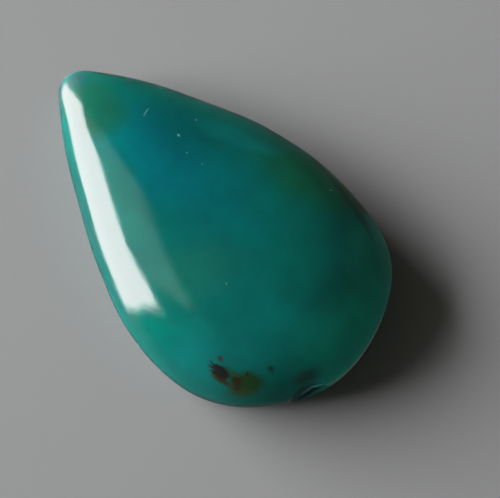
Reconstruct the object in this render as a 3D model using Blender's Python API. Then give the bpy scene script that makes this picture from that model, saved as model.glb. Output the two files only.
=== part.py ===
# Gem silica cabochon: one polished, pear-shaped piece of translucent blue-green stone.
# Metres, +Z up. The stone lies on its flat back at z = 0 with its tip towards +X,
# and the origin is under the middle of its outline.

import math

import bmesh
import bpy
from mathutils import Matrix, Vector

MM = 0.001

# Outline seen from above: four arcs that run into one another
HEAD_RADIUS = 8.78 * MM
TIP_RADIUS = 1.44 * MM
HEAD_TO_TIP = 17.32 * MM  # between the centres of the two end arcs
LEFT_FLANK_RADIUS = 37.1 * MM  # on the +Y side
RIGHT_FLANK_RADIUS = 32.2 * MM  # on the -Y side

# The stone was ground by hand, so its outline swells and dips a little on its way round.
# Each entry is the number of waves in one turn and the heights of a cosine and a sine wave.
OUTLINE_WAVES = (
    (3, -0.021 * MM, -0.057 * MM),
    (4, 0.039 * MM, 0.042 * MM),
    (5, 0.071 * MM, -0.012 * MM),
    (6, -0.026 * MM, -0.021 * MM),
    (7, 0.004 * MM, 0.014 * MM),
    (8, 0.029 * MM, -0.022 * MM),
    (9, -0.037 * MM, 0.012 * MM),
)
WAVE_CENTRE = Vector((4.0 * MM, 0.0))  # from the centre of the head arc

# Side view: flat back, belly curving out and up, short upright girdle, low dome
TOTAL_HEIGHT = 5.5 * MM
GIRDLE_BOTTOM = 1.9 * MM
GIRDLE_TOP = 2.7 * MM
BACK_INSET = 0.9 * MM  # how far the flat back stays inside the girdle
BELLY_ANGLE = math.radians(50)  # how far the belly has turned under where it meets the back

# Dome: its rings shrink towards the crown and lose their point on the way
CROWN_POINT = Vector((1.2 * MM, 0.0))  # the highest point, from the centre of the head arc
CROWN_TIP_RADIUS = 6.1 * MM  # tip radius that the rings tend to, before they shrink
TIP_ROUNDING_POWER = 0.57  # less than 1 rounds the point off soon after the girdle
CROWN_POWER = 3.7  # a larger power gives a flatter crown and steeper shoulders
SHOULDER_POWER = 1.2  # 1 leaves an open edge at the girdle, and 2 runs into it upright

# Small chip at the round end, out of the girdle and the belly below it
CHIP_ANGLE = math.radians(163.5)  # seen from the centre of the head arc
CHIP_RADIUS = 2.0 * MM
CHIP_DEPTH = 0.57 * MM
CHIP_HEIGHT = 2.05 * MM
CHIP_FLATTENING = 0.75  # height of the hollow over its length

# Straight pieces that stand for each curve
TIP_STEPS = 5  # on each half of the tip arc
FLANK_STEPS = 24
HEAD_STEPS = 44
BELLY_STEPS = 6
DOME_STEPS = 18
CHIP_SUBDIVISIONS = 3

STONE_COLOUR = (0.004, 0.098, 0.087, 1.0)
STONE_ROUGHNESS = 0.08
STONE_REFRACTION = 1.54
SHARP_ANGLE = math.radians(25)


def clear_scene():
    for old in list(bpy.data.objects):
        bpy.data.objects.remove(old, do_unlink=True)


def heading(start, end):
    return math.atan2(end.y - start.y, end.x - start.x)


def arc(centre, radius, first, last, steps):
    # Points and outward directions from the first angle up to, but without, the last.
    points = []
    for step in range(steps):
        angle = first + (last - first) * step / steps
        outward = Vector((math.cos(angle), math.sin(angle)))
        points.append((centre + radius * outward, outward))
    return points


def flank_centre(flank_radius, tip_radius, head_to_tip, side):
    # An arc that touches both end arcs has its centre this far from each of theirs.
    from_head = flank_radius - HEAD_RADIUS
    from_tip = flank_radius - tip_radius
    along = (from_head**2 - from_tip**2 + head_to_tip**2) / (2 * head_to_tip)
    across = math.sqrt(from_head**2 - along**2)
    return Vector((along, -side * across))


def outline_wave(point):
    angle = heading(WAVE_CENTRE, point)
    height = 0.0
    for count, cosine, sine in OUTLINE_WAVES:
        height += cosine * math.cos(count * angle) + sine * math.sin(count * angle)
    return height


def outline(inset=0.0, tip_radius=TIP_RADIUS):
    # The line round the stone, counter-clockwise from the tip, drawn in by an even inset.
    # A larger tip radius blunts the tip and leaves the length as it is.
    head_to_tip = HEAD_TO_TIP + TIP_RADIUS - tip_radius
    head = Vector((0.0, 0.0))
    tip = Vector((head_to_tip, 0.0))
    left = flank_centre(LEFT_FLANK_RADIUS, tip_radius, head_to_tip, 1)
    right = flank_centre(RIGHT_FLANK_RADIUS, tip_radius, head_to_tip, -1)
    left_at_tip = heading(left, tip)
    left_at_head = heading(left, head)
    right_at_head = heading(right, head) + math.tau
    right_at_tip = heading(right, tip) + math.tau

    sides = arc(tip, tip_radius - inset, 0.0, left_at_tip, TIP_STEPS)
    sides += arc(left, LEFT_FLANK_RADIUS - inset, left_at_tip, left_at_head, FLANK_STEPS)
    sides += arc(head, HEAD_RADIUS - inset, left_at_head, right_at_head, HEAD_STEPS)
    sides += arc(right, RIGHT_FLANK_RADIUS - inset, right_at_head, right_at_tip, FLANK_STEPS)
    sides += arc(tip, tip_radius - inset, right_at_tip, math.tau, TIP_STEPS)
    return [point + outward * outline_wave(point) for point, outward in sides]


def outline_middle():
    girdle = outline()
    xs = [point.x for point in girdle]
    ys = [point.y for point in girdle]
    return Vector(((min(xs) + max(xs)) / 2, (min(ys) + max(ys)) / 2))


def belly_rings():
    # From the flat back, curving outwards and up to the lower edge of the girdle.
    rings = []
    for step in range(BELLY_STEPS + 1):
        angle = BELLY_ANGLE * (1 - step / BELLY_STEPS)
        inset = BACK_INSET * (1 - math.cos(angle)) / (1 - math.cos(BELLY_ANGLE))
        height = GIRDLE_BOTTOM * (1 - math.sin(angle) / math.sin(BELLY_ANGLE))
        rings.append((outline(inset), height))
    return rings


def dome_rings():
    # From the upper edge of the girdle: a steep shoulder, then nearly flat at the crown.
    rings = []
    for step in range(DOME_STEPS):
        reach = math.cos(math.pi / 2 * step / DOME_STEPS)
        rounding = (1 - reach) ** TIP_ROUNDING_POWER
        level_line = outline(tip_radius=TIP_RADIUS + (CROWN_TIP_RADIUS - TIP_RADIUS) * rounding)
        points = [CROWN_POINT + (point - CROWN_POINT) * reach for point in level_line]
        rise = (1 - reach**CROWN_POWER) ** (1 / SHOULDER_POWER)
        rings.append((points, GIRDLE_TOP + (TOTAL_HEIGHT - GIRDLE_TOP) * rise))
    return rings


def add_ring(mesh, points, height, middle):
    corners = [mesh.verts.new((*(point - middle), height)) for point in points]
    followers = corners[1:] + corners[:1]
    return [mesh.edges.new(pair) for pair in zip(corners, followers)]


def stone_mesh():
    middle = outline_middle()
    mesh = bmesh.new()
    rings = belly_rings() + dome_rings()
    loops = [add_ring(mesh, points, height, middle) for points, height in rings]
    for lower, upper in zip(loops, loops[1:]):
        bmesh.ops.bridge_loops(mesh, edges=lower + upper)
    bmesh.ops.contextual_create(mesh, geom=loops[0])
    close_crown(mesh, loops[-1], middle)
    bmesh.ops.recalc_face_normals(mesh, faces=mesh.faces[:])
    return mesh


def close_crown(mesh, last_loop, middle):
    # One fan of triangles from the last ring to the highest point.
    top = bmesh.ops.contextual_create(mesh, geom=last_loop)
    fan = bmesh.ops.poke(mesh, faces=top["faces"])
    fan["verts"][0].co = (*(CROWN_POINT - middle), TOTAL_HEIGHT)


def chip_mesh():
    # The hollow is the part of a flattened ball that reaches in past the girdle.
    outward = Vector((math.cos(CHIP_ANGLE), math.sin(CHIP_ANGLE)))
    centre = outward * (HEAD_RADIUS + CHIP_RADIUS - CHIP_DEPTH) - outline_middle()
    place = Matrix.Translation((*centre, CHIP_HEIGHT))
    flatten = Matrix.Diagonal((1.0, 1.0, CHIP_FLATTENING, 1.0))
    mesh = bmesh.new()
    bmesh.ops.create_icosphere(
        mesh, subdivisions=CHIP_SUBDIVISIONS, radius=CHIP_RADIUS, matrix=place @ flatten
    )
    return mesh


def make_object(name, source):
    mesh = bpy.data.meshes.new(name)
    source.to_mesh(mesh)
    source.free()
    made = bpy.data.objects.new(name, mesh)
    bpy.context.scene.collection.objects.link(made)
    return made


def stone_material():
    material = bpy.data.materials.new("gem_silica")
    material.use_nodes = True
    material.diffuse_color = STONE_COLOUR
    shader = material.node_tree.nodes["Principled BSDF"]
    shader.inputs["Base Color"].default_value = STONE_COLOUR
    shader.inputs["Roughness"].default_value = STONE_ROUGHNESS
    shader.inputs["Metallic"].default_value = 0.0
    shader.inputs["IOR"].default_value = STONE_REFRACTION
    return material


def build_chip_cutter():
    cutter = make_object("chip_cutter", chip_mesh())
    cutter.hide_render = True
    cutter.display_type = "WIRE"
    return cutter


def build_cabochon():
    stone = make_object("cabochon", stone_mesh())
    stone.data.materials.append(stone_material())
    chip = stone.modifiers.new("chip", "BOOLEAN")
    chip.operation = "DIFFERENCE"
    chip.solver = "EXACT"
    chip.object = build_chip_cutter()
    stone.data.shade_smooth()
    stone.data.set_sharp_from_angle(angle=SHARP_ANGLE)
    return stone


clear_scene()
build_cabochon()
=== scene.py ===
import math

import bmesh
import bpy
from mathutils import Matrix, Vector


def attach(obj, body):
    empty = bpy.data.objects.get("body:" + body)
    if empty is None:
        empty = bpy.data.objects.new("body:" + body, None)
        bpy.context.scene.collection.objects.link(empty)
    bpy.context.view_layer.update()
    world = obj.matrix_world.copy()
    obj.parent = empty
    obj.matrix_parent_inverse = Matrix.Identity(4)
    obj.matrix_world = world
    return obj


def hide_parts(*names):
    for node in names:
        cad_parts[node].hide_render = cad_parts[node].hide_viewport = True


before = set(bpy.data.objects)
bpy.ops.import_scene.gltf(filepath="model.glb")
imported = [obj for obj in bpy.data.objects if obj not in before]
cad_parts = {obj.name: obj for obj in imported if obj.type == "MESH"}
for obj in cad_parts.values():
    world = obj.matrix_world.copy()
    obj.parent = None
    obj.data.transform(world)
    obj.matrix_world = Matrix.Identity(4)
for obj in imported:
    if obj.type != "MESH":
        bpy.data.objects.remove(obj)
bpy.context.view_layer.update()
mm = 0.001


# Stone: the same rules as the solid, with closer rings, a softened back edge and a real hollow chip
stone = {
    # a fit to the outline in the photograph gave the radii, the head-to-tip length and the wave heights
    "headRadius": 8.78 * mm,
    "tipRadius": 1.44 * mm,
    "headToTip": 17.32 * mm,
    "leftFlankRadius": 37.1 * mm,  # on the +Y side
    "rightFlankRadius": 32.2 * mm,  # on the -Y side
    "waves": (  # number in one turn, then the heights of a cosine and a sine wave in millimetres
        (3, -0.021, -0.057), (4, 0.039, 0.042), (5, 0.071, -0.012), (6, -0.026, -0.021),
        (7, 0.004, 0.014), (8, 0.029, -0.022), (9, -0.037, 0.012),
    ),
    "waveCentre": (4.0 * mm, 0.0),
    "height": 5.5 * mm,
    "girdleBottom": 1.9 * mm,
    "girdleTop": 2.7 * mm,
    "backInset": 0.9 * mm,  # how far the flat back stays inside the girdle
    "bellyAngle": math.radians(50),  # how far the belly has turned under where it meets the back
    "crown": (1.2 * mm, 0.0),  # highest point, from the centre of the head arc
    "crownTipRadius": 6.1 * mm,  # tip radius that the rings tend to near the crown
    "tipRounding": 0.57,  # less than 1 rounds the point off soon after the girdle
    "crownPower": 3.7,  # a larger power gives a flatter crown and steeper shoulders
    "shoulderPower": 1.2,  # 1 leaves an open edge at the girdle, and 2 runs into it upright
    "tipSteps": 14,
    "flankSteps": 62,
    "headSteps": 118,
    "bellySteps": 10,
    "domeSteps": 64,
    "easing": 70,  # rounds of averaging that blend the arcs of a ring near the crown
    "easingPower": 0.6,
    "backBevel": 0.12 * mm,
    "backBevelSegments": 3,
}

chip = {
    "angle": math.radians(163.5),  # seen from the centre of the head arc
    "radius": 2.0 * mm,
    "depth": 0.57 * mm,
    "height": 2.05 * mm,
    "flattening": 0.75,  # height of the hollow over its length
    "cuts": 3,  # extra cuts in the mesh round the hollow
    "cutReach": 1.15,  # of the hollow's radius
}


def heading(start, end):
    return math.atan2(end.y - start.y, end.x - start.x)


def arcPoints(centre, radius, first, last, steps):
    points = []
    for step in range(steps):
        angle = first + (last - first) * step / steps
        outward = Vector((math.cos(angle), math.sin(angle)))
        points.append((centre + radius * outward, outward))
    return points


def flankCentre(flankRadius, tipRadius, headToTip, side):
    # the flank's arc touches both end arcs, so its centre is this far from each of theirs
    fromHead = flankRadius - stone["headRadius"]
    fromTip = flankRadius - tipRadius
    along = (fromHead**2 - fromTip**2 + headToTip**2) / (2 * headToTip)
    across = math.sqrt(fromHead**2 - along**2)
    return Vector((along, -side * across))


def handWave(point):
    # how far the hand-ground outline swells out or dips in at this point
    angle = heading(Vector(stone["waveCentre"]), point)
    height = 0.0
    for count, cosine, sine in stone["waves"]:
        height += cosine * math.cos(count * angle) + sine * math.sin(count * angle)
    return height * mm


def pearOutline(inset=0.0, tipRadius=stone["tipRadius"]):
    # four arcs that touch, counter-clockwise from the tip
    headToTip = stone["headToTip"] + stone["tipRadius"] - tipRadius
    head = Vector((0.0, 0.0))
    tip = Vector((headToTip, 0.0))
    left = flankCentre(stone["leftFlankRadius"], tipRadius, headToTip, 1)
    right = flankCentre(stone["rightFlankRadius"], tipRadius, headToTip, -1)
    leftAtTip = heading(left, tip)
    leftAtHead = heading(left, head)
    rightAtHead = heading(right, head) + math.tau
    rightAtTip = heading(right, tip) + math.tau
    leftRadius = stone["leftFlankRadius"] - inset
    rightRadius = stone["rightFlankRadius"] - inset
    sides = arcPoints(tip, tipRadius - inset, 0.0, leftAtTip, stone["tipSteps"])
    sides += arcPoints(left, leftRadius, leftAtTip, leftAtHead, stone["flankSteps"])
    sides += arcPoints(head, stone["headRadius"] - inset, leftAtHead, rightAtHead, stone["headSteps"])
    sides += arcPoints(right, rightRadius, rightAtHead, rightAtTip, stone["flankSteps"])
    sides += arcPoints(tip, tipRadius - inset, rightAtTip, math.tau, stone["tipSteps"])
    return [point + outward * handWave(point) for point, outward in sides]


def outlineMiddle():
    girdle = pearOutline()
    xs = [point.x for point in girdle]
    ys = [point.y for point in girdle]
    return Vector(((min(xs) + max(xs)) / 2, (min(ys) + max(ys)) / 2))


def easeLine(points, rounds):
    # each round moves every point towards the middle of its two neighbours
    for _ in range(rounds):
        before = points[-1:] + points[:-1]
        after = points[1:] + points[:1]
        points = [(a + 2 * b + c) / 4 for a, b, c in zip(before, points, after)]
    return points


def bellyRings():
    # from the back up and out to the lower edge of the girdle
    rings = []
    turn = stone["bellyAngle"]
    for step in range(stone["bellySteps"] + 1):
        angle = turn * (1 - step / stone["bellySteps"])
        inset = stone["backInset"] * (1 - math.cos(angle)) / (1 - math.cos(turn))
        height = stone["girdleBottom"] * (1 - math.sin(angle) / math.sin(turn))
        rings.append((pearOutline(inset), height))
    return rings


def domeRings():
    # from the upper edge of the girdle, steep at first and nearly flat at the crown
    rings = []
    crown = Vector(stone["crown"])
    widening = stone["crownTipRadius"] - stone["tipRadius"]
    domeHeight = stone["height"] - stone["girdleTop"]
    for step in range(stone["domeSteps"]):
        reach = math.cos(math.pi / 2 * step / stone["domeSteps"])
        tipRadius = stone["tipRadius"] + widening * (1 - reach) ** stone["tipRounding"]
        rounds = round(stone["easing"] * (1 - reach) ** stone["easingPower"])
        levelLine = easeLine(pearOutline(tipRadius=tipRadius), rounds)
        points = [crown + (point - crown) * reach for point in levelLine]
        rise = (1 - reach ** stone["crownPower"]) ** (1 / stone["shoulderPower"])
        rings.append((points, stone["girdleTop"] + domeHeight * rise))
    return rings


def layRing(mesh, points, height, middle):
    # a circle with one corner for each point, pulled out to the pear
    circle = bmesh.ops.create_circle(mesh, segments=len(points), radius=stone["headRadius"])
    for corner, point in zip(circle["verts"], points):
        corner.co = (*(point - middle), height)
    return list({edge for corner in circle["verts"] for edge in corner.link_edges})


def cutChip(mesh, middle):
    # the hollow is the part of a flattened ball that reaches in past the girdle:
    # the mesh gets closer there, and what lies inside the ball is pushed back onto it
    outward = Vector((math.cos(chip["angle"]), math.sin(chip["angle"])))
    place = outward * (stone["headRadius"] + chip["radius"] - chip["depth"]) - middle
    centre = Vector((*place, chip["height"]))
    flatten = Matrix.Diagonal((1.0, 1.0, chip["flattening"])) * chip["radius"]
    unflatten = flatten.inverted()
    near = [
        edge for edge in mesh.edges
        if all((unflatten @ (corner.co - centre)).length < chip["cutReach"] for corner in edge.verts)
    ]
    bmesh.ops.subdivide_edges(mesh, edges=near, cuts=chip["cuts"], use_grid_fill=True)
    for corner in mesh.verts:
        offset = unflatten @ (corner.co - centre)
        if offset.length < 1:
            corner.co = centre + flatten @ offset.normalized()


def makeObject(name, mesh):
    data = bpy.data.meshes.new(name)
    mesh.to_mesh(data)
    mesh.free()
    piece = bpy.data.objects.new(name, data)
    bpy.context.scene.collection.objects.link(piece)
    return piece


def makeStone():
    middle = outlineMiddle()
    mesh = bmesh.new()
    loops = [layRing(mesh, points, height, middle) for points, height in bellyRings() + domeRings()]
    for lower, upper in zip(loops, loops[1:]):
        bmesh.ops.bridge_loops(mesh, edges=lower + upper)
    back = bmesh.ops.contextual_create(mesh, geom=loops[0])
    top = bmesh.ops.contextual_create(mesh, geom=loops[-1])
    fan = bmesh.ops.poke(mesh, faces=top["faces"])
    fan["verts"][0].co = (*(Vector(stone["crown"]) - middle), stone["height"])  # the highest point
    bmesh.ops.bevel(
        mesh, geom=back["faces"][0].edges[:], offset=stone["backBevel"],
        affect="EDGES", segments=stone["backBevelSegments"], profile=0.5, material=-1,
    )
    cutChip(mesh, middle)
    bmesh.ops.recalc_face_normals(mesh, faces=mesh.faces[:])
    piece = makeObject("polishedStone", mesh)
    piece.data.shade_smooth()
    print("stone shaped:", len(piece.data.polygons), "faces")
    return piece


# Material helpers
def newMaterial(name):
    material = bpy.data.materials.new(name)
    material.use_nodes = True
    tree = material.node_tree
    tree.nodes.clear()
    output = tree.nodes.new("ShaderNodeOutputMaterial")
    shader = tree.nodes.new("ShaderNodeBsdfPrincipled")
    tree.links.new(shader.outputs["BSDF"], output.inputs["Surface"])
    return material, tree, shader


def plug(tree, source, socket):
    # a socket is linked, and a plain value is set
    if isinstance(source, bpy.types.NodeSocket):
        tree.links.new(source, socket)
    else:
        socket.default_value = source


def mathNode(tree, operation, first, second=0.0):
    node = tree.nodes.new("ShaderNodeMath")
    node.operation = operation
    plug(tree, first, node.inputs[0])
    plug(tree, second, node.inputs[1])
    return node.outputs[0]


def vectorNode(tree, operation, first, second):
    node = tree.nodes.new("ShaderNodeVectorMath")
    node.operation = operation
    plug(tree, first, node.inputs[0])
    plug(tree, second, node.inputs["Scale"] if operation == "SCALE" else node.inputs[1])
    return node.outputs["Vector"]


def noiseNode(tree, place, scale, detail, roughness=0.5):
    node = tree.nodes.new("ShaderNodeTexNoise")
    plug(tree, place, node.inputs["Vector"])
    node.inputs["Scale"].default_value = scale
    node.inputs["Detail"].default_value = detail
    node.inputs["Roughness"].default_value = roughness
    return node


def rampNode(tree, value, start, end, low=0.0, high=1.0):
    node = tree.nodes.new("ShaderNodeMapRange")
    node.interpolation_type = "SMOOTHSTEP"
    limits = {"Value": value, "From Min": start, "From Max": end, "To Min": low, "To Max": high}
    for name, source in limits.items():
        plug(tree, source, node.inputs[name])
    return node.outputs["Result"]


def mixNode(tree, factor, first, second, blend="MIX"):
    node = tree.nodes.new("ShaderNodeMix")
    node.data_type = "RGBA"
    node.blend_type = blend
    colours = [socket for socket in node.inputs if socket.type == "RGBA"]
    plug(tree, factor, node.inputs[0])
    plug(tree, first, colours[0])
    plug(tree, second, colours[1])
    return next(socket for socket in node.outputs if socket.type == "RGBA")


# Soft spot: 1 inside a turned ellipse, 0 outside it, fading between two distances from its centre
def softSpotGroup():
    group = bpy.data.node_groups.new("softSpot", "ShaderNodeTree")
    for name in ("Place", "Centre", "Turn", "Size"):
        group.interface.new_socket(name=name, in_out="INPUT", socket_type="NodeSocketVector")
    for name in ("Full", "Gone"):
        group.interface.new_socket(name=name, in_out="INPUT", socket_type="NodeSocketFloat")
    group.interface.new_socket(name="Mask", in_out="OUTPUT", socket_type="NodeSocketFloat")
    start = group.nodes.new("NodeGroupInput")
    end = group.nodes.new("NodeGroupOutput")
    mapping = group.nodes.new("ShaderNodeMapping")
    mapping.vector_type = "TEXTURE"  # turns the ellipse into a ball of radius 1 about the origin
    wiring = {"Vector": "Place", "Location": "Centre", "Rotation": "Turn", "Scale": "Size"}
    for name, source in wiring.items():
        group.links.new(start.outputs[source], mapping.inputs[name])
    far = group.nodes.new("ShaderNodeVectorMath")
    far.operation = "LENGTH"
    group.links.new(mapping.outputs["Vector"], far.inputs[0])
    mask = rampNode(group, far.outputs["Value"], start.outputs["Full"], start.outputs["Gone"], 1.0, 0.0)
    group.links.new(mask, end.inputs["Mask"])
    return group


def softSpot(tree, group, place, spot):
    node = tree.nodes.new("ShaderNodeGroup")
    node.node_tree = group
    node.label = spot["name"]
    tree.links.new(place, node.inputs["Place"])
    node.inputs["Centre"].default_value = spot["centre"]
    node.inputs["Turn"].default_value = (0.0, 0.0, math.radians(spot.get("turn", 0.0)))
    node.inputs["Size"].default_value = spot["size"]
    node.inputs["Full"].default_value, node.inputs["Gone"].default_value = spot["fade"]
    return mathNode(tree, "MULTIPLY", node.outputs["Mask"], spot.get("amount", 1.0))


# Gem silica: a translucent blue-green body.
# Places and sizes are millimetres on the stone, and turns are degrees. A spot is whole up to the first
# distance of its fade and gone at the second, and both are shares of its size.
gemSilica = {
    "body": (0.0008, 0.122, 0.1),
    "refraction": 1.54,
    "gloss": 0.35,  # 0.5 would be a flawless polish
    "lightDepth": 8.0 * mm,  # how far light wanders in the stone
    "lightSpread": (0.3, 1.0, 0.9),  # red, green and blue shares of that depth
    "cloudScale": 0.22,  # every scale is features to the millimetre
    "cloudShift": 2.2,  # how far the clouds push the edges of the colour zones
    "grainScale": 2.2,
    "grainShift": 0.35,  # how far the grain frays the edges of the small marks
    "mottleScale": 0.55,  # faint lighter and darker patches all over
    "mottleRange": (0.3, 0.7),
    "mottleDark": (0.94, 0.93, 0.94, 1.0),
    "mottleLight": (1.06, 1.07, 1.06, 1.0),
}
deep = 60.0  # half-height of a zone that runs right through the stone

# broad zones in the body, with painted glow on the shaded side and at the round end; a later one lies
# over those before it
colourZones = [
    {"name": "blue heart", "centre": (3.6, -0.3, 4), "size": (6.6, 3.6, deep), "turn": -3,
     "fade": (0.25, 1.25), "colour": (0.0003, 0.138, 0.16)},
    {"name": "deep blue", "centre": (5.0, -2.4, 4), "size": (5.0, 2.6, deep), "turn": 28,
     "fade": (0.2, 1.3), "colour": (0.0002, 0.064, 0.072), "amount": 0.55},
    {"name": "light flank", "centre": (1.0, 4.6, 4), "size": (7.5, 2.0, deep), "turn": -8,
     "fade": (0.4, 1.4), "colour": (0.003, 0.13, 0.108)},
    {"name": "blue shoulder", "centre": (-0.8, -1.6, 4), "size": (4.2, 3.2, deep),
     "fade": (0.2, 1.3), "colour": (0.0005, 0.13, 0.135), "amount": 0.7},
    {"name": "clear middle", "centre": (-3.2, 2.2, 4), "size": (6.0, 2.8, deep),
     "fade": (0.25, 1.3), "colour": (0.002, 0.134, 0.122), "amount": 0.8},
    {"name": "green streak", "centre": (-3.2, 3.0, 4), "size": (2.0, 2.8, deep), "turn": -20,
     "fade": (0.3, 1.3), "colour": (0.008, 0.145, 0.112), "amount": 0.8},
    {"name": "pale low flank", "centre": (-8.2, 5.6, 4), "size": (3.6, 2.4, deep), "turn": 38,
     "fade": (0.3, 1.4), "colour": (0.004, 0.142, 0.132)},
    {"name": "tip green", "centre": (10.3, 0.1, 4), "size": (3.0, 2.3, deep), "turn": -14,
     "fade": (0.45, 1.15), "colour": (0.006, 0.102, 0.066)},
    {"name": "olive flank", "centre": (-2.7, -6.7, 4), "size": (4.2, 2.3, deep), "turn": 16,
     "fade": (0.25, 1.25), "colour": (0.006, 0.13, 0.072)},
    # painted light: the shaded side is coloured much lighter, standing in for light carried through the
    # stone
    {"name": "painted glow on the shaded side", "centre": (-10.2, -6.6, 4), "size": (4.4, 2.6, deep), "turn": -40,
     "fade": (0.2, 1.3), "colour": (0.012, 0.33, 0.255)},
    {"name": "clear low end", "centre": (-9.7, 1.9, 4), "size": (2.6, 2.6, deep),
     "fade": (0.2, 1.4), "colour": (0.002, 0.2, 0.17), "amount": 0.6},
    # painted light: the round end's rim is coloured much lighter, standing in for light shining through
    # the thin edge
    {"name": "painted glow at the round end", "centre": (-16.5, -2.8, 4), "size": (7.6, 9.0, deep),
     "fade": (0.5, 1.0), "colour": (0.008, 0.48, 0.38)},
    {"name": "dark streak", "centre": (-5.9, -7.62, 4), "size": (2.7, 0.26, deep), "turn": -8,
     "fade": (0.3, 1.5), "colour": (0.0004, 0.042, 0.032), "amount": 0.55},
    {"name": "cool upper flank", "centre": (1.9, -5.3, 4), "size": (3.2, 0.9, deep), "turn": 28,
     "fade": (0.3, 1.4), "colour": (0.003, 0.15, 0.14), "amount": 0.8},
    {"name": "left edge", "centre": (5.5, 5.6, 2.7), "size": (7.5, 1.0, 1.0), "turn": -24,
     "fade": (0.4, 1.3), "colour": (0.012, 0.07, 0.068), "amount": 0.6},
    {"name": "blue by the tip", "centre": (12.4, -0.5, 3.5), "size": (0.55, 0.7, 1.2), "turn": -20,
     "fade": (0.3, 1.3), "colour": (0.0008, 0.092, 0.108), "amount": 0.65},
    {"name": "frosted tip", "centre": (13.5, 0.2, 2.8), "size": (1.0, 1.5, 2.4),
     "fade": (0.6, 1.1), "colour": (0.03, 0.078, 0.08), "amount": 0.85},
    {"name": "tip side", "centre": (12.9, 1.5, 2.5), "size": (1.7, 0.7, 1.2), "turn": -32,
     "fade": (0.5, 1.3), "colour": (0.035, 0.06, 0.058), "amount": 0.8},
]

# painted shade: the chip's hollow is coloured nearly black, as if lying in deep shade
paintedHollowShade = {
    "name": "painted hollow shade", "centre": (-13.05, 2.68, 2.15), "size": (0.75, 1.25, 1.25), "turn": -18,
    "fade": (0.7, 1.15), "colour": (0.003, 0.005, 0.009),
}

# stains and specks in the stone, with painted shade in the chip's hollow last; a later one lies over
# those before it
inclusions = [
    {"name": "olive patch", "centre": (-10.35, 5.42, 3.8), "size": (1.2, 0.74, 1.2), "turn": 50,
     "fade": (0.55, 1.25), "colour": (0.018, 0.05, 0.006), "amount": 0.9},
    {"name": "olive tail", "centre": (-9.3, 5.8, 4.1), "size": (0.75, 0.3, 1.0), "turn": 12,
     "fade": (0.4, 1.4), "colour": (0.02, 0.055, 0.012), "amount": 0.8},
    {"name": "rust edge", "centre": (-9.08, 6.46, 3.8), "size": (0.8, 0.19, 1.0), "turn": 18,
     "fade": (0.4, 1.4), "colour": (0.038, 0.028, 0.006)},
    {"name": "olive edge", "centre": (-10.45, 6.0, 3.4), "size": (0.95, 0.2, 1.0), "turn": 48,
     "fade": (0.3, 1.4), "colour": (0.045, 0.055, 0.005), "amount": 0.7},
    {"name": "rust core", "centre": (-9.92, 5.8, 3.8), "size": (0.5, 0.34, 1.0), "turn": -40,
     "fade": (0.3, 1.4), "colour": (0.036, 0.018, 0.008)},
    {"name": "black streak", "centre": (-8.79, 6.18, 4.1), "size": (0.62, 0.36, 1.0), "turn": 15,
     "fade": (0.6, 1.25), "colour": (0.012, 0.011, 0.012)},
    {"name": "upper finger", "centre": (-8.44, 6.1, 4.1), "size": (0.66, 0.12, 1.0), "turn": 15,
     "fade": (0.5, 1.3), "colour": (0.012, 0.012, 0.013)},
    {"name": "middle finger", "centre": (-8.5, 6.27, 4.1), "size": (0.58, 0.1, 1.0), "turn": 17,
     "fade": (0.5, 1.3), "colour": (0.014, 0.014, 0.014)},
    {"name": "lower finger", "centre": (-8.66, 6.42, 4.1), "size": (0.58, 0.1, 1.0), "turn": 18,
     "fade": (0.5, 1.3), "colour": (0.018, 0.014, 0.012)},
    {"name": "pale crack", "centre": (-9.55, 5.62, 4.1), "size": (0.5, 0.06, 1.0), "turn": 36,
     "fade": (0.4, 1.4), "colour": (0.03, 0.1, 0.07), "amount": 0.4},
    {"name": "brown dot", "centre": (-8.18, 5.7, 4.5), "size": (0.25, 0.15, 0.6), "turn": 5,
     "fade": (0.4, 1.4), "colour": (0.05, 0.032, 0.02), "amount": 0.85},
    {"name": "brown speck", "centre": (-9.97, 5.05, 4.1), "size": (0.15, 0.12, 0.6),
     "fade": (0.4, 1.4), "colour": (0.04, 0.025, 0.006)},
    {"name": "green spot", "centre": (-10.81, 3.72, 4.3), "size": (0.26, 0.22, 0.6),
     "fade": (0.2, 1.5), "colour": (0.002, 0.05, 0.01), "amount": 0.85},
    {"name": "smoky smudge", "centre": (-12.53, 2.31, 3.6), "size": (0.42, 0.95, 1.0), "turn": -20,
     "fade": (0.3, 1.4), "colour": (0.022, 0.058, 0.066), "amount": 0.75},
    {"name": "first rim stain", "centre": (-4.9, -8.3, 3.1), "size": (0.6, 0.35, 0.6), "turn": -12,
     "fade": (0.3, 1.4), "colour": (0.02, 0.1, 0.01), "amount": 0.8},
    {"name": "second rim stain", "centre": (-6.5, -8.25, 3.0), "size": (0.6, 0.35, 0.6), "turn": -18,
     "fade": (0.3, 1.4), "colour": (0.028, 0.085, 0.012), "amount": 0.8},
    # darker at the girdle's lower edge beside the chip
    {"name": "dark low girdle by the chip", "centre": (-12.8, 3.9, 1.9), "size": (0.7, 1.1, 0.4), "turn": -25,
     "fade": (0.3, 1.4), "colour": (0.003, 0.03, 0.024), "amount": 0.8},
    # the painted shade in the chip's hollow, laid over the stains
    paintedHollowShade,
]

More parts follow.
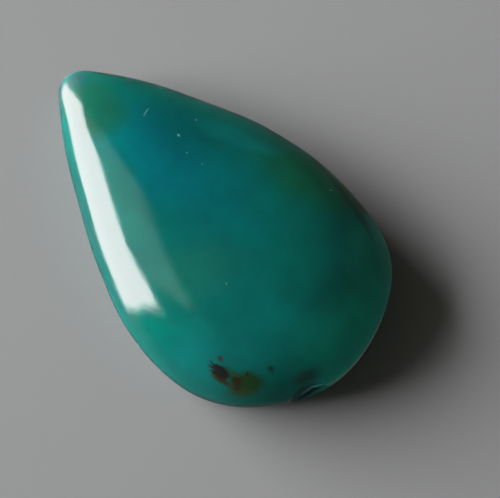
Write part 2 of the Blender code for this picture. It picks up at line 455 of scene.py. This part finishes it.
# marks in the polish
scratchFade = (0.5, 1.3)
scratches = [
    {"name": "long scratch", "centre": (7.5, -1.84, 5), "size": (0.36, 0.05, 3), "turn": 112,
     "fade": scratchFade, "amount": 0.3},
    {"name": "pit by the scratch", "centre": (4.73, -2.28, 5), "size": (0.13, 0.08, 3),
     "fade": scratchFade, "amount": 0.5},
    {"name": "first pit", "centre": (4.91, -3.96, 5), "size": (0.08, 0.07, 3),
     "fade": scratchFade, "amount": 0.3},
    {"name": "second pit", "centre": (3.4, -1.84, 5), "size": (0.07, 0.07, 3),
     "fade": scratchFade, "amount": 0.25},
    {"name": "third pit", "centre": (2.13, -2.03, 5), "size": (0.06, 0.06, 3),
     "fade": scratchFade, "amount": 0.2},
    {"name": "low pit", "centre": (-4.96, 2.25, 5), "size": (0.1, 0.07, 3),
     "fade": scratchFade, "amount": 0.2},
    {"name": "edge pit", "centre": (-4.51, -7.35, 4), "size": (0.08, 0.08, 3),
     "fade": scratchFade, "amount": 0.3},
]

# Surface: how the polish varies, and how it is worn at the girdle, in the scratches and in the chip;
# the girdle's grey tone is partly painted reflection
surface = {
    "scratchColour": (0.35, 0.5, 0.5, 1.0),
    # grey tone of the girdle band: partly its worn haze, partly a painted reflection of the floor seen
    # in the rim
    "hazeAndReflectionColour": (0.025, 0.062, 0.062, 1.0),
    "hazeAndReflection": 0.3,  # of the haze-and-reflection colour where the girdle is most worn
    "wearNone": 4.1,  # height in millimetres above which the stone is not worn
    "wearFull": 3.1,
    "wearScale": 5.0,
    "wearRange": (0.25, 0.75),
    "wearLeast": 0.6,
    "polishScale": 0.9,
    "polishRange": (0.3, 0.75),
    "polishBest": 0.055,  # roughness where the polish is best
    "polishWorst": 0.115,
    "wearRoughness": 0.15,  # added to the polish
    "scratchRoughness": 0.4,
    "hollowRoughness": 0.5,  # the hollow was never polished
    "reliefScale": 6.0,
    "reliefFineness": 0.6,
    "relief": 0.003 * mm,
    "scratchDepth": 4.0,  # of the relief
    "lineDepth": 1.2,
    "lineTurn": math.radians(35),
    "lineStretch": (1.2, 14.0, 1.2),  # faint lines left by the polishing, to the millimetre
}
# finer layers in each kind of noise
noiseDetail = 4.0
cloudDetail = 3.0
lineDetail = 2.0


def pushedPlace(tree, place, scale, shift):
    # the place pushed about by noise, which gives a mask uneven edges
    noise = noiseNode(tree, place, scale, cloudDetail)
    centred = vectorNode(tree, "SUBTRACT", noise.outputs["Color"], (0.5, 0.5, 0.5))
    return vectorNode(tree, "ADD", place, vectorNode(tree, "SCALE", centred, shift))


def stonePlaces(tree):
    # the point on the stone in millimetres, and the same point pushed by clouds and by grain
    coordinates = tree.nodes.new("ShaderNodeTexCoord")
    place = vectorNode(tree, "SCALE", coordinates.outputs["Object"], 1 / mm)
    cloudy = pushedPlace(tree, place, gemSilica["cloudScale"], gemSilica["cloudShift"])
    grainy = pushedPlace(tree, place, gemSilica["grainScale"], gemSilica["grainShift"])
    return place, cloudy, grainy


def bodyColour(tree, group, cloudy, grainy):
    colour = (*gemSilica["body"], 1.0)
    for zone in colourZones:
        colour = mixNode(tree, softSpot(tree, group, cloudy, zone), colour, (*zone["colour"], 1.0))
    noise = noiseNode(tree, cloudy, gemSilica["mottleScale"], noiseDetail).outputs["Fac"]
    mottle = rampNode(tree, noise, *gemSilica["mottleRange"])
    tint = mixNode(tree, mottle, gemSilica["mottleDark"], gemSilica["mottleLight"])
    colour = mixNode(tree, 1.0, colour, tint, "MULTIPLY")
    for spot in inclusions:
        colour = mixNode(tree, softSpot(tree, group, grainy, spot), colour, (*spot["colour"], 1.0))
    return colour


def scratchMask(tree, group, place):
    marks = 0.0
    for mark in scratches:
        marks = mathNode(tree, "MAXIMUM", marks, softSpot(tree, group, place, mark))
    return marks


def wearMask(tree, place):
    # 1 round the girdle and below it, broken up by fine grain
    height = tree.nodes.new("ShaderNodeSeparateXYZ")
    tree.links.new(place, height.inputs[0])
    girdle = rampNode(tree, height.outputs["Z"], surface["wearNone"], surface["wearFull"])
    noise = noiseNode(tree, place, surface["wearScale"], noiseDetail).outputs["Fac"]
    grain = rampNode(tree, noise, *surface["wearRange"], surface["wearLeast"], 1.0)
    return mathNode(tree, "MULTIPLY", girdle, grain)


def polishRoughness(tree, place, masks):
    noise = noiseNode(tree, place, surface["polishScale"], noiseDetail).outputs["Fac"]
    best, worst = surface["polishBest"], surface["polishWorst"]
    rough = rampNode(tree, noise, *surface["polishRange"], best, worst)
    for mask, added in masks:
        rough = mathNode(tree, "ADD", rough, mathNode(tree, "MULTIPLY", mask, added))
    return rough


def polishNormal(tree, place, marks):
    # fine uneven polish with faint lines one way, and the scratches sunk into it
    fine = noiseNode(tree, place, surface["reliefScale"], noiseDetail, surface["reliefFineness"])
    lined = tree.nodes.new("ShaderNodeMapping")
    lined.inputs["Rotation"].default_value = (0.0, 0.0, surface["lineTurn"])
    lined.inputs["Scale"].default_value = surface["lineStretch"]
    tree.links.new(place, lined.inputs["Vector"])
    lines = noiseNode(tree, lined.outputs["Vector"], 1.0, lineDetail).outputs["Fac"]
    sunk = mathNode(tree, "MULTIPLY", marks, surface["scratchDepth"])
    raised = mathNode(tree, "MULTIPLY", lines, surface["lineDepth"])
    relief = mathNode(tree, "SUBTRACT", mathNode(tree, "ADD", fine.outputs["Fac"], raised), sunk)
    bump = tree.nodes.new("ShaderNodeBump")
    bump.inputs["Strength"].default_value = 1.0
    bump.inputs["Distance"].default_value = surface["relief"]
    tree.links.new(relief, bump.inputs["Height"])
    return bump.outputs["Normal"]


def gemSilicaMaterial():
    material, tree, shader = newMaterial("gemSilica")
    group = softSpotGroup()
    place, cloudy, grainy = stonePlaces(tree)
    marks = scratchMask(tree, group, place)
    wear = wearMask(tree, place)
    # mask of the painted hollow shade, used here only to roughen the hollow
    hollow = softSpot(tree, group, grainy, paintedHollowShade)

    colour = bodyColour(tree, group, cloudy, grainy)
    colour = mixNode(tree, marks, colour, surface["scratchColour"])
    # grey the worn girdle: partly haze, partly painted reflection of the floor at the rim
    hazeAndReflection = mathNode(tree, "MULTIPLY", wear, surface["hazeAndReflection"])
    colour = mixNode(tree, hazeAndReflection, colour, surface["hazeAndReflectionColour"])
    tree.links.new(colour, shader.inputs["Base Color"])

    masks = (
        (wear, surface["wearRoughness"]),
        (marks, surface["scratchRoughness"]),
        (hollow, surface["hollowRoughness"]),
    )
    tree.links.new(polishRoughness(tree, place, masks), shader.inputs["Roughness"])
    tree.links.new(polishNormal(tree, place, marks), shader.inputs["Normal"])

    shader.inputs["IOR"].default_value = gemSilica["refraction"]
    shader.inputs["Specular IOR Level"].default_value = gemSilica["gloss"]
    shader.subsurface_method = "RANDOM_WALK"
    shader.inputs["Subsurface Weight"].default_value = 1.0
    shader.inputs["Subsurface Radius"].default_value = gemSilica["lightSpread"]
    shader.inputs["Subsurface Scale"].default_value = gemSilica["lightDepth"]
    print("stone material built:", len(tree.nodes), "nodes")
    return material


# Camera: looks down on the dome from beyond the round end
view = {
    "elevation": math.radians(72),
    "turn": math.radians(132.25),  # of the stone's length, counter-clockwise from the image's right
    "distance": 120 * mm,
    "pixelsPerMetre": 15000,
    "imageWidth": 500,
    "imageHeight": 498,
    "headCentrePixel": (253.8, 285.4),  # the same fit gave this and the turn
    "sensorWidth": 36.0,
    "nearest": 1 * mm,
}


def cameraAxes():
    # the image's right and up, the way back to the camera, and the level direction away from it
    turn = view["turn"]
    right = Vector((math.cos(turn), -math.sin(turn), 0.0))
    away = Vector((math.sin(turn), math.cos(turn), 0.0))
    rise = view["elevation"]
    back = -away * math.cos(rise) + Vector((0, 0, math.sin(rise)))
    up = back.cross(right)
    return right, up, back, away


def setCamera():
    right, up, back, _ = cameraAxes()
    headCentre = Vector((*-outlineMiddle(), 0.0))  # the middle of the round end
    offsetX = (view["imageWidth"] / 2 - view["headCentrePixel"][0]) / view["pixelsPerMetre"]
    offsetY = (view["headCentrePixel"][1] - view["imageHeight"] / 2) / view["pixelsPerMetre"]
    place = headCentre + right * offsetX + up * offsetY + back * view["distance"]
    data = bpy.data.cameras.new("camera")
    data.sensor_width = view["sensorWidth"]
    data.lens = view["sensorWidth"] * view["distance"] * view["pixelsPerMetre"] / view["imageWidth"]
    data.clip_start = view["nearest"]
    camera = bpy.data.objects.new("camera", data)
    camera.matrix_world = Matrix((
        (right.x, up.x, back.x, place.x),
        (right.y, up.y, back.y, place.y),
        (right.z, up.z, back.z, place.z),
        (0, 0, 0, 1),
    ))
    bpy.context.scene.collection.objects.link(camera)
    bpy.context.scene.camera = camera
    print("camera set")


# Light: a tall window to the left of the image, a dim wall above it and a dim edge beside it.
# The first card lights the body, and the polish mirrors the others, which stand in nearer planes.
# reach is metres from the stone to the card, and along and up are shares of the reach.
cards = [
    {"name": "windowCard", "seenBy": "body", "reach": 0.6,
     "along": (-0.28, 1.1), "up": (-0.02, 0.74), "radiance": 17.5},
    {"name": "windowGlossCard", "seenBy": "polish", "reach": 0.55,
     "along": (-0.28, 1.1), "up": (-0.02, 0.86), "radiance": 21.0},
    # three small panes widen and square off the lower end of the window's reflection
    {"name": "endPaneCard", "seenBy": "polish", "reach": 0.545,
     "along": (-0.32, -0.28), "up": (0.16, 0.95), "radiance": 21.0},
    {"name": "lowPaneCard", "seenBy": "polish", "reach": 0.545,
     "along": (-0.28, -0.02), "up": (0.86, 0.93), "radiance": 21.0},
    {"name": "lowestPaneCard", "seenBy": "polish", "reach": 0.545,
     "along": (-0.28, -0.09), "up": (0.93, 1.03), "radiance": 21.0},
    {"name": "wallCard", "seenBy": "polish", "reach": 0.55,
     "along": (-0.1, 1.0), "up": (0.88, 3.0), "radiance": 1.2},
    {"name": "windowEdgeCard", "seenBy": "polish", "reach": 0.55,
     "along": (1.12, 1.9), "up": (-0.02, 0.8), "radiance": 0.9},
]
room = {
    "above": (0.065, 0.062, 0.052, 1.0),
    "below": (0.095, 0.095, 0.092, 1.0),  # seen only in the polish, in place of the floor
    "horizon": 0.06,  # half-width of the blend between the two
}


def addCard(card):
    right, _, _, away = cameraAxes()
    reach = card["reach"]
    along = [reach * value for value in card["along"]]
    heights = [reach * value for value in card["up"]]
    data = bpy.data.lights.new(card["name"], "AREA")
    data.shape = "RECTANGLE"
    data.size = along[1] - along[0]
    data.size_y = heights[1] - heights[0]
    data.energy = card["radiance"] * math.pi * data.size * data.size_y
    lamp = bpy.data.objects.new(card["name"], data)
    lamp.visible_diffuse = card["seenBy"] == "body"
    lamp.visible_glossy = card["seenBy"] == "polish"
    place = -right * reach + away * sum(along) / 2 + Vector((0, 0, sum(heights) / 2))
    facing = Matrix((-away, Vector((0, 0, 1)), -right)).transposed()
    lamp.matrix_world = Matrix.Translation(place) @ facing.to_4x4()
    bpy.context.scene.collection.objects.link(lamp)


def setRoom():
    world = bpy.data.worlds.new("room")
    world.use_nodes = True
    tree = world.node_tree
    direction = tree.nodes.new("ShaderNodeTexCoord")
    height = tree.nodes.new("ShaderNodeSeparateXYZ")
    tree.links.new(direction.outputs["Generated"], height.inputs[0])
    share = rampNode(tree, height.outputs["Z"], -room["horizon"], room["horizon"])
    colour = mixNode(tree, share, room["below"], room["above"])
    tree.links.new(colour, tree.nodes["Background"].inputs["Color"])
    bpy.context.scene.world = world


def setLight():
    for card in cards:
        addCard(card)
    setRoom()
    print("light set:", len(cards), "cards")


# Floor: plain pale grey
floorLook = {"halfWidth": 0.6, "colour": (0.25, 0.252, 0.256), "roughness": 0.9}


def makeFloor():
    mesh = bmesh.new()
    bmesh.ops.create_grid(mesh, x_segments=1, y_segments=1, size=floorLook["halfWidth"])
    piece = makeObject("floor", mesh)
    material, _, shader = newMaterial("floorGrey")
    shader.inputs["Base Color"].default_value = (*floorLook["colour"], 1.0)
    shader.inputs["Roughness"].default_value = floorLook["roughness"]
    piece.data.materials.append(material)
    piece.visible_glossy = False  # its mirror image would whiten the stone's rim
    print("floor laid")
    return piece


# Film: bright tones are held back, as the camera did with the window's reflection
film = {
    "shoulder": ((0.55, 0.55), (0.72, 0.705), (0.86, 0.77)),
    "white": 0.82,
    "allChannels": 3,  # place of the joint curve among the four
}


def setFilm():
    settings = bpy.context.scene.view_settings
    settings.view_transform = "Standard"
    settings.use_curve_mapping = True
    curve = settings.curve_mapping.curves[film["allChannels"]]
    curve.points[-1].location = (1.0, film["white"])
    for place in film["shoulder"]:
        curve.points.new(*place)
    settings.curve_mapping.update()


setFilm()
polished = makeStone()
polished.data.materials.append(gemSilicaMaterial())
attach(polished, "root")
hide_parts("cabochon")
floor = makeFloor()
setLight()
setCamera()
